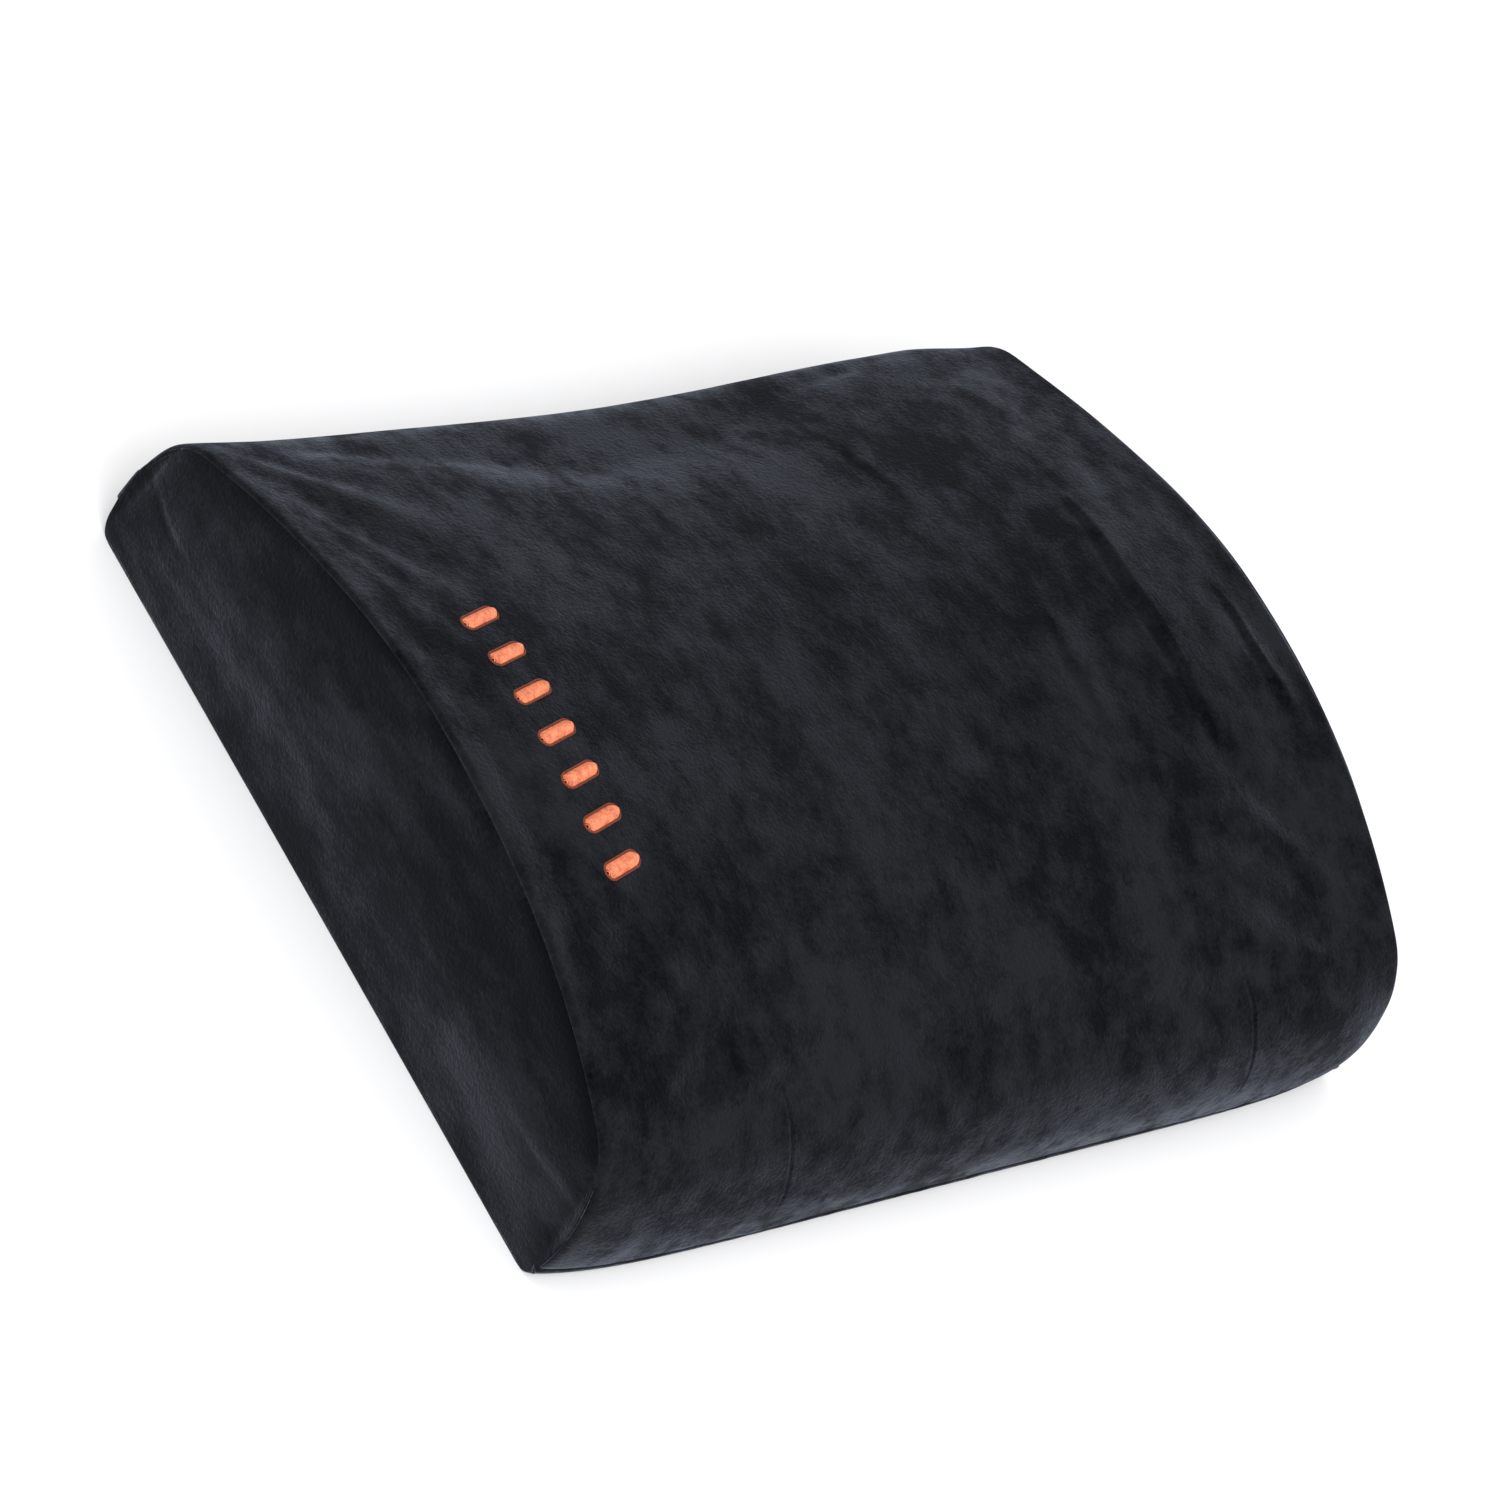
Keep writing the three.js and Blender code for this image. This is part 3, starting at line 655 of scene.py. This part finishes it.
panel_velour = make_velour("crushed_velour", (1, 0.65, 1), 1.0)
# Besides its own streak direction, the gussets' copy has its sheen raised 1.42 times: painted light that
# makes the gussets lighter.
brightened_gusset_velour = make_velour("crushed_velour_gusset_brightened", (1, 0.35, 0.9), 1.42)
FLANGE = 2.6 * MM


def add_panel(node, sides, gone, finish):
    """One cut panel of the cover, with its edges turned in at the seams."""
    bm = bmesh.new()
    bm.from_mesh(cover_mesh)
    others = [f for f in bm.faces if f.material_index not in sides or gone(f)]
    bmesh.ops.delete(bm, geom=others, context="FACES")
    turned = bmesh.ops.extrude_edge_only(bm, edges=[e for e in bm.edges if e.is_boundary])["geom"]
    turned = [g for g in turned if isinstance(g, bmesh.types.BMVert)]
    outward = from_seam(np.array([v.co for v in turned]))[1]
    for vertex, (out_y, out_z) in zip(turned, outward):
        side = math.copysign(1, vertex.co.x)
        if HALF_WIDTH - abs(vertex.co.x) < 6 * MM:
            vertex.co += Vector((-side, -out_y, -out_z)) * FLANGE / math.sqrt(2)
            own = Vector((0, -out_y, -out_z)) if LEFT in sides or RIGHT in sides else Vector((-side, 0, 0))
            vertex.co += own * 0.35 * MM
        else:
            vertex.co.y -= math.copysign(FLANGE, vertex.co.y)
            vertex.co.z += (0.35 if FRONT in sides else -0.35) * MM
    bmesh.ops.recalc_face_normals(bm, faces=bm.faces)
    middle = Vector((0, 0, THICKNESS / 2))
    if sum(f.normal.dot(f.calc_center_median() - middle) * f.calc_area() for f in bm.faces) < 0:
        bmesh.ops.reverse_faces(bm, faces=bm.faces)
    for face in bm.faces:
        face.smooth = True
    mesh = bpy.data.meshes.new(node + "_velour")
    bm.to_mesh(mesh)
    bm.free()
    panel = bpy.data.objects.new(node + "_velour", mesh)
    bpy.context.scene.collection.objects.link(panel)
    thicken(panel, COVER)
    put_on(panel, finish)
    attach(panel, "cushion")
    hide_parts(node)
    return panel


def past_zip_or_seam(face, front):
    """Whether a face of the wrapped ends belongs to the other panel, or to the zip's slot."""
    middle = face.calc_center_median()
    if face.material_index == TOP:
        in_slot = abs(middle.x) < SLOT_HALF and abs(middle.z - ZIP_RISE) < SLOT_EDGE
        return in_slot or (middle.z < ZIP_RISE) == front
    return face.material_index == BOTTOM and (middle.z < BACK_SEAM) == front


add_panel("gusset_left", (LEFT,), lambda f: False, brightened_gusset_velour)
add_panel("gusset_right", (RIGHT,), lambda f: False, brightened_gusset_velour)
front_panel = add_panel(
    "cover_front_panel", (FRONT, TOP, BOTTOM), lambda f: past_zip_or_seam(f, True), panel_velour
)
back_panel = add_panel(
    "cover_back_panel", (BACK, TOP, BOTTOM), lambda f: past_zip_or_seam(f, False), panel_velour
)

# ---------------------------------------------------------------------------------------------------------
# The embroidery: seven slanted bars of glossy orange satin stitch beside the left seam.
# Each is a low pad with threads laid side by side across it, worked through the velour by machine.

BAR_SLANT = math.radians(16)
BAR_LENGTH = 17 * MM
BAR_WIDTH = 5 * MM
THREAD = 0.5 * MM
THREAD_RISE = 1.5 * MM
EDGE_RUN = 0.4 * MM

thread_finish = Finish("orange_satin_thread", Specular_IOR_Level=0.4)
twist = thread_finish.noise(thread_finish.place(), 0.5 * MM, 2)
shade = thread_finish.noise(thread_finish.place(), 2.5 * MM, 2)
thread_finish.colour(twist * 0.5 + shade * 0.5, [(0.36, (0.5, 0.1, 0.04)), (0.62, (0.86, 0.28, 0.13))])
thread_finish.set(thread_finish.shader, "Roughness", 0.25 + twist * 0.3)
thread_finish.bump(twist, 0.15 * MM, 0.5)

# A dark brown run round each bar: partly a contour thread, partly painted shadow where the raised satin meets
# the pile.
edge_thread_and_shadow_finish = Finish("dark_edge_thread_and_shadow", Specular_IOR_Level=0.3, Roughness=0.6)
edge_twist = edge_thread_and_shadow_finish.noise(edge_thread_and_shadow_finish.place(), 0.5 * MM, 2)
edge_thread_and_shadow_finish.colour(edge_twist, [(0.35, (0.09, 0.018, 0.008)), (0.65, (0.2, 0.04, 0.016))])
edge_thread_and_shadow_finish.bump(edge_twist, 0.1 * MM, 0.5)

front_tree = BVHTree.FromObject(front_panel, bpy.context.evaluated_depsgraph_get())


def onto_front(x, y):
    """The point of the front panel under (x, y), and its outward normal."""
    hit, normal, _, _ = front_tree.ray_cast(Vector((x, y, 2 * THICKNESS)), Vector((0, 0, -1)))
    return hit, normal


def thread_mesh(name, lines, radius, roundness=1):
    """One mesh of threads that follow these lines of points. roundness 0 gives them a square section."""
    curve = bpy.data.curves.new(name, "CURVE")
    curve.dimensions = "3D"
    curve.bevel_depth = radius
    curve.bevel_resolution = roundness
    curve.use_fill_caps = True
    for line in lines:
        spline = curve.splines.new("POLY")
        spline.points.add(len(line) - 1)
        for place, point in zip(spline.points, line):
            place.co = (*point, 1)
    threads = bpy.data.objects.new(name, curve)
    bpy.context.scene.collection.objects.link(threads)
    mesh = bpy.data.meshes.new_from_object(threads.evaluated_get(bpy.context.evaluated_depsgraph_get()))
    bpy.data.objects.remove(threads)
    piece = bpy.data.objects.new(name, mesh)
    bpy.context.scene.collection.objects.link(piece)
    return piece


for number in range(1, 8):
    node = f"embroidered_bar_{number}"
    low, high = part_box(node)
    middle = (low + high) / 2
    along_bar = Vector((math.cos(BAR_SLANT), math.sin(BAR_SLANT), 0))
    across_bar = Vector((-math.sin(BAR_SLANT), math.cos(BAR_SLANT), 0))
    lines = []
    count = round(BAR_LENGTH / (0.88 * THREAD))
    for k in range(count):
        reach = (k + 0.5) / count * 2 - 1
        straight = (BAR_LENGTH - BAR_WIDTH) / BAR_LENGTH
        beyond = max(0, abs(reach) - straight) / (1 - straight)
        half = BAR_WIDTH / 2 * math.sqrt(max(1 - beyond**2, 0.06))
        line = []
        for share in np.linspace(-1, 1, 7):
            spot = middle + along_bar * (reach * BAR_LENGTH / 2) + across_bar * (share * half)
            hit, normal = onto_front(spot.x, spot.y)
            rise = THREAD_RISE * (1 - share**2) * (half / (BAR_WIDTH / 2)) ** 0.5 - 0.35 * MM * share**2
            line.append(hit + normal * rise)
        lines.append(line)
    # The edge run round the bar: dark thread that also stands in for painted shadow.
    edge = []
    for i in range(41):
        angle = 2 * math.pi * i / 40
        straight = (BAR_LENGTH - BAR_WIDTH) / 2 * math.copysign(1, math.cos(angle))
        round_end = (BAR_WIDTH / 2 + EDGE_RUN) * Vector((math.cos(angle), math.sin(angle)))
        spot = middle + along_bar * (straight + round_end.x) + across_bar * round_end.y
        hit, normal = onto_front(spot.x, spot.y)
        edge.append(hit + normal * 0.1 * MM)
    edge_thread_and_shadow = thread_mesh(node + "_edge", [edge], EDGE_RUN)
    put_on(edge_thread_and_shadow, edge_thread_and_shadow_finish)
    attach(edge_thread_and_shadow, "cushion")
    bar = thread_mesh(node + "_thread", lines, THREAD / 2)
    put_on(bar, thread_finish)
    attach(bar, "cushion")
    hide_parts(node)

# ---------------------------------------------------------------------------------------------------------
# The zip: woven tapes, two rows of nylon coil, crimped stops, and a black-lacquered slider with its pull.
# The tapes are sewn under the edges of the slot on the top end face.

tape_finish = Finish("zip_tape_weave", Roughness=0.85, Sheen_Weight=0.1)
tape_weave = tape_finish.wave("X", 450) * tape_finish.wave("Z", 300)
tape_finish.colour(tape_weave, [(0.0, (0.006, 0.006, 0.007)), (0.7, (0.022, 0.022, 0.025))])
tape_finish.bump(tape_weave, 0.25 * MM, 0.7)
for node in ("zip_tape_upper", "zip_tape_lower"):
    put_on(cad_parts[node], tape_finish)

nylon_finish = Finish("zip_nylon", Specular_IOR_Level=0.5)
nylon_cloud = nylon_finish.noise(nylon_finish.place(), 1.5 * MM, 2)
nylon_finish.colour(nylon_cloud, [(0.3, (0.008, 0.008, 0.009)), (0.7, (0.02, 0.02, 0.022))])
nylon_finish.set(nylon_finish.shader, "Roughness", 0.3 + nylon_cloud * 0.25)
LEAN_ANGLE = math.atan(LEAN)
up_face = Vector((0, -math.sin(LEAN_ANGLE), math.cos(LEAN_ANGLE)))
off_face = Vector((0, math.cos(LEAN_ANGLE), math.sin(LEAN_ANGLE)))
chain_middle = Vector((0, (chain_low.y + chain_high.y) / 2, ZIP_RISE))
COIL_PITCH = 1.4 * MM
COIL_TURN = (1.25 * MM, 0.72 * MM)  # half sizes of one turn, along the face and into it
FILAMENT = 0.3 * MM


for node, side in (("zip_coil_upper", 1), ("zip_coil_lower", -1)):
    low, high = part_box(node)
    line = []
    for i in range(int((high.x - low.x - 2 * FILAMENT) / COIL_PITCH * 9)):
        angle = 2 * math.pi * i / 9
        along_face = side * (0.85 * MM + COIL_TURN[0] * math.cos(angle))
        deep = COIL_TURN[1] * math.sin(angle)
        x = low.x + FILAMENT + COIL_PITCH * (i / 9 + (0.25 if side > 0 else -0.25) + 0.25)
        line.append(chain_middle + Vector((x, 0, 0)) + up_face * along_face - off_face * deep)
    coil = thread_mesh(node + "_filament", [line], FILAMENT, 0)
    for polygon in coil.data.polygons:
        polygon.use_smooth = True
    put_on(coil, nylon_finish)
    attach(coil, "cushion")
    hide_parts(node)

# Past the stops a patch of tape is sewn behind both tapes, where it closes the gap between them.
PATCH = Vector((10.4, 0.6, 12)) * MM
PATCH_MIDDLE = 173.9 * MM
PATCH_DEPTH = 3.3 * MM
for name, side in (("zip_patch_left", -1), ("zip_patch_right", 1)):
    middle = Vector((side * PATCH_MIDDLE, end_reach(ZIP_RISE, 0), ZIP_RISE)) - off_face * PATCH_DEPTH
    bm = bmesh.new()
    bmesh.ops.create_cube(bm, size=1)
    bmesh.ops.scale(bm, vec=PATCH, verts=bm.verts)
    bmesh.ops.bevel(bm, geom=bm.edges, offset=0.15 * MM, segments=1, affect="EDGES")
    bmesh.ops.rotate(bm, verts=bm.verts, matrix=Matrix.Rotation(LEAN_ANGLE, 3, "X"))
    bmesh.ops.translate(bm, vec=middle, verts=bm.verts)
    patch = bpy.data.objects.new(name, bpy.data.meshes.new(name))
    bm.to_mesh(patch.data)
    bm.free()
    bpy.context.scene.collection.objects.link(patch)
    put_on(patch, tape_finish)
    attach(patch, "cushion")

# The slot's edges are topstitched to the tapes all round.
sewing_finish = Finish("sewing_thread", Roughness=0.6)
ply = sewing_finish.noise(sewing_finish.place(), 0.4 * MM, 2)
sewing_finish.colour(ply, [(0.35, (0.01, 0.01, 0.012)), (0.65, (0.035, 0.035, 0.04))])
sewing_finish.bump(ply, 0.1 * MM, 0.5)
STITCH = 3.2 * MM
STITCH_EDGE = 2.2 * MM  # the stitches run this far outside the slot
STITCH_RADIUS = 0.22 * MM
built = bpy.context.evaluated_depsgraph_get()
panel_trees = [BVHTree.FromObject(panel, built) for panel in (front_panel, back_panel)]


def onto_end(x, z):
    """The point of the top end's cloth at (x, z)."""
    start = Vector((x, HALF_HEIGHT + 60 * MM, z))
    hits = [tree.ray_cast(start, Vector((0, -1, 0)))[0] for tree in panel_trees]
    return max((hit for hit in hits if hit), key=lambda hit: hit.y)


stitch_x, stitch_z = SLOT_HALF + STITCH_EDGE, SLOT_EDGE + STITCH_EDGE
corners = [(-stitch_x, -stitch_z), (stitch_x, -stitch_z), (stitch_x, stitch_z), (-stitch_x, stitch_z)]
dashes = []
for (x0, z0), (x1, z1) in zip(corners, corners[1:] + corners[:1]):
    count = round(math.hypot(x1 - x0, z1 - z0) / STITCH)
    for k in range(count):
        shares = [(k + part) / count for part in (0.12, 0.3, 0.5, 0.7, 0.88)]
        spots = [(x0 + (x1 - x0) * share, ZIP_RISE + z0 + (z1 - z0) * share) for share in shares]
        sunk = [-0.35 * MM, 0.05 * MM, 0.12 * MM, 0.05 * MM, -0.35 * MM]
        dashes.append([onto_end(x, z) + off_face * rise for (x, z), rise in zip(spots, sunk)])
topstitch = thread_mesh("zip_topstitch", dashes, STITCH_RADIUS, 0)
put_on(topstitch, sewing_finish)
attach(topstitch, "cushion")

lacquer = Finish("black_lacquered_metal", Metallic=0.6, Coat_Roughness=0.2)
scuffs = lacquer.noise(lacquer.place(), 1.2 * MM, 3)
lacquer.colour(scuffs, [(0.45, (0.012, 0.012, 0.013)), (0.8, (0.06, 0.06, 0.062))])
lacquer.set(lacquer.shader, "Roughness", 0.28 + scuffs * 0.25)


def soften_copy(node, width, body):
    """A copy of a CAD metal piece with its edges rounded as the casting's are."""
    bm = bmesh.new()
    bm.from_mesh(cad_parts[node].data)
    bmesh.ops.remove_doubles(bm, verts=bm.verts, dist=0.01 * MM)
    bmesh.ops.dissolve_limit(bm, angle_limit=math.radians(1), verts=bm.verts, edges=bm.edges)
    sharp = [e for e in bm.edges if e.is_manifold and e.calc_face_angle() > math.radians(40)]
    bmesh.ops.bevel(
        bm, geom=sharp, offset=width, segments=2, profile=0.5, affect="EDGES", material=-1, clamp_overlap=True
    )
    mesh = bpy.data.meshes.new(node + "_cast")
    for face in bm.faces:
        face.smooth = True
    bm.to_mesh(mesh)
    bm.free()
    piece = bpy.data.objects.new(node + "_cast", mesh)
    bpy.context.scene.collection.objects.link(piece)
    put_on(piece, lacquer)
    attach(piece, body)
    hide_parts(node)
    return piece


for node in ("zip_stop_top_upper", "zip_stop_top_lower", "zip_stop_bottom"):
    soften_copy(node, 0.25 * MM, "cushion")
soften_copy("zip_slider_body", 0.15 * MM, "zip_slider")
soften_copy("zip_pull_tab", 0.2 * MM, "zip_pull")

# ---------------------------------------------------------------------------------------------------------
# The studio: a plain pale floor, soft light from one large panel and a white world, and a camera with a long
# lens.
# The camera is turned about its own axis, because the cushion is seen leaning back.

FLOOR_SIZE = 12.0
bm = bmesh.new()
bmesh.ops.create_grid(bm, x_segments=1, y_segments=1, size=FLOOR_SIZE / 2)
floor_mesh = bpy.data.meshes.new("floor")
bm.to_mesh(floor_mesh)
bm.free()
floor = bpy.data.objects.new("floor", floor_mesh)
bpy.context.scene.collection.objects.link(floor)
floor_finish = Finish("pale_floor", Roughness=0.9, Base_Color=(0.9, 0.9, 0.91, 1))
put_on(floor, floor_finish)

world = bpy.data.worlds.new("studio")
world.use_nodes = True
world.node_tree.nodes["Background"].inputs["Color"].default_value = (1, 1, 1, 1)
world.node_tree.nodes["Background"].inputs["Strength"].default_value = 1.0
bpy.context.scene.world = world
bpy.context.scene.view_settings.view_transform = "Standard"

AIM = Vector((0, 0, 0.035))


def towards(azimuth, elevation):
    """The direction from the cushion to a light or the camera. Azimuth 0 is its bottom end."""
    level = math.cos(elevation)
    return Vector((level * math.sin(azimuth), -level * math.cos(azimuth), math.sin(elevation)))


def add_panel_light(name, azimuth, elevation, distance, size, power):
    away = towards(math.radians(azimuth), math.radians(elevation))
    light = bpy.data.lights.new(name, "AREA")
    light.shape = "SQUARE"
    light.size = size
    light.energy = power
    panel = bpy.data.objects.new(name, light)
    panel.location = AIM + away * distance
    panel.rotation_euler = (-away).to_track_quat("-Z", "Y").to_euler()
    bpy.context.scene.collection.objects.link(panel)


add_panel_light("key", -45, 40, 2.5, 1.6, 45)

LENS = 134.1
SENSOR = 36
CAMERA_AZIMUTH = math.radians(-62.3)
CAMERA_ELEVATION = math.radians(39.1)
CAMERA_ROLL = math.radians(40.3)
CAMERA_PLACE = Vector((-1.3055, -0.6734, 1.2186))
camera_data = bpy.data.cameras.new("camera")
camera_data.lens = LENS
camera_data.sensor_width = SENSOR
camera = bpy.data.objects.new("camera", camera_data)
upright = towards(CAMERA_AZIMUTH, CAMERA_ELEVATION).to_track_quat("Z", "Y").to_matrix()
turned = upright @ Matrix.Rotation(CAMERA_ROLL, 3, "Z")
camera.matrix_world = Matrix.Translation(CAMERA_PLACE) @ turned.to_4x4()
bpy.context.scene.collection.objects.link(camera)
bpy.context.scene.camera = camera

bpy.context.view_layer.update()
